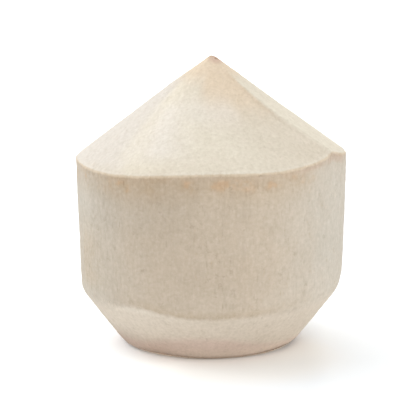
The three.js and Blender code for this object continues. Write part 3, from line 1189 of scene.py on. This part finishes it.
def floor_material():
    """White sheet that gives off a faint painted glow of its own. The glow grows over the RING just
    beyond the foot, again over FAR, and over BESIDE as the floor leaves the shadow sideways. A warmer
    glow fades out over UNDER. The sheet's white goes from a painted warm bounce to cool over WARM."""
    material = bpy.data.materials.new("opal_sheet")
    material.use_nodes = True
    tree = material.node_tree
    shader = tree.nodes["Principled BSDF"]
    place = add(tree, "TexCoord").outputs["Object"]
    away = vector_maths(tree, "DISTANCE", {0: place, 1: (FOOT_SHIFT * MM, 0, 0)}, output=1)
    sideways = add(tree, "SeparateXYZ", {0: place}).outputs["X"]
    sideways = maths(tree, "ABSOLUTE", maths(tree, "SUBTRACT", sideways, SHADOW_MIDDLE))
    glow = ramp(tree, away, *RING, 0.0, RING_GLOW)
    glow = maths(tree, "ADD", glow, ramp(tree, away, *FAR, 0.0, FAR_GLOW))
    glow = maths(tree, "ADD", glow, ramp(tree, sideways, *BESIDE, 0.0, BESIDE_GLOW))
    under = ramp(tree, away, *UNDER, UNDER_GLOW, 0.0)
    under = vector_maths(tree, "SCALE", {0: UNDER_TINT, "Scale": under})
    glow = vector_maths(tree, "ADD", {0: glow, 1: under})
    from_warm = vector_maths(tree, "DISTANCE", {0: place, 1: WARM_MIDDLE}, output=1)
    white = tint(tree, ramp(tree, from_warm, *WARM), FLOOR_BOUNCE, FLOOR_WHITE)
    tree.links.new(glow, shader.inputs["Emission Color"])
    tree.links.new(white, shader.inputs["Base Color"])
    shader.inputs["Emission Strength"].default_value = 1.0
    shader.inputs["Roughness"].default_value = FLOOR_ROUGHNESS
    return material


floor_mesh = bpy.data.meshes.new("floor")
floor_corners = np.array([(-1, -1, 0), (1, -1, 0), (1, 1, 0), (-1, 1, 0)]) * FLOOR_HALF_WIDTH
floor_mesh.from_pydata(floor_corners.tolist(), [], [(0, 1, 2, 3)])
floor_mesh.materials.append(floor_material())
floor = bpy.data.objects.new("floor", floor_mesh)
bpy.context.scene.collection.objects.link(floor)


# --- Light and camera -------------------------------------------------------------------------
# A white tent all round, two softboxes high at the left, a smaller one low at the right, and a wide
# panel on each side, one in front and a stronger one behind. Directions are degrees round from +X,
# and up from level, and lengths are metres.

LIGHTS_AIM = Vector((0, 0, 0.06))


def softbox(name, azimuth, elevation, distance, size, watts):
    """A square area light in a direction from the fruit's middle, turned to face it."""
    turn, up = math.radians(azimuth), math.radians(elevation)
    out = Vector((math.cos(turn) * math.cos(up), math.sin(turn) * math.cos(up), math.sin(up)))
    lamp = bpy.data.lights.new(name, "AREA")
    lamp.size = size
    lamp.energy = watts
    box = bpy.data.objects.new(name, lamp)
    bpy.context.scene.collection.objects.link(box)
    box.location = LIGHTS_AIM + distance * out
    box.rotation_euler = (-out).to_track_quat("-Z", "Y").to_euler()


softbox("key_softbox", azimuth=150, elevation=36, distance=1.6, size=1.0, watts=10.3)
softbox("left_softbox", azimuth=180, elevation=36, distance=1.6, size=1.0, watts=6.2)
softbox("right_softbox", azimuth=-15, elevation=18, distance=1.5, size=0.7, watts=5.85)
softbox("front_panel", azimuth=-60, elevation=32, distance=1.9, size=2.0, watts=10.2)
softbox("back_panel", azimuth=105, elevation=32, distance=1.9, size=2.0, watts=20.5)

# How strong the tent's white is as a light, and how strong it is where the camera sees it.
TENT_LIGHT = 0.655
TENT_SEEN = 1.1

world = bpy.data.worlds.new("white_tent")
bpy.context.scene.world = world
world.use_nodes = True
tent = world.node_tree.nodes["Background"]
tent.inputs["Color"].default_value = (1, 1, 1, 1)
seen = add(world.node_tree, "LightPath").outputs["Is Camera Ray"]
strength = maths(world.node_tree, "MULTIPLY_ADD", seen, TENT_SEEN - TENT_LIGHT, TENT_LIGHT)
world.node_tree.links.new(strength, tent.inputs["Strength"])

# The camera looks at the fruit's front from a little above. Its place is in the fruit's millimetres
# and its dip in degrees.
CAMERA_PLACE = Vector((-0.353, -829.9, 214.4)) * MM
CAMERA_DIP = 10.634
LENS = 161.6
SENSOR_WIDTH = 36
CLIP_END = 50

camera_data = bpy.data.cameras.new("camera")
camera_data.lens = LENS
camera_data.sensor_width = SENSOR_WIDTH
camera_data.clip_end = CLIP_END
camera = bpy.data.objects.new("camera", camera_data)
bpy.context.scene.collection.objects.link(camera)
camera.location = CAMERA_PLACE
camera.rotation_euler = (math.radians(90 - CAMERA_DIP), 0, 0)
bpy.context.scene.camera = camera
bpy.context.scene.view_settings.view_transform = "Standard"
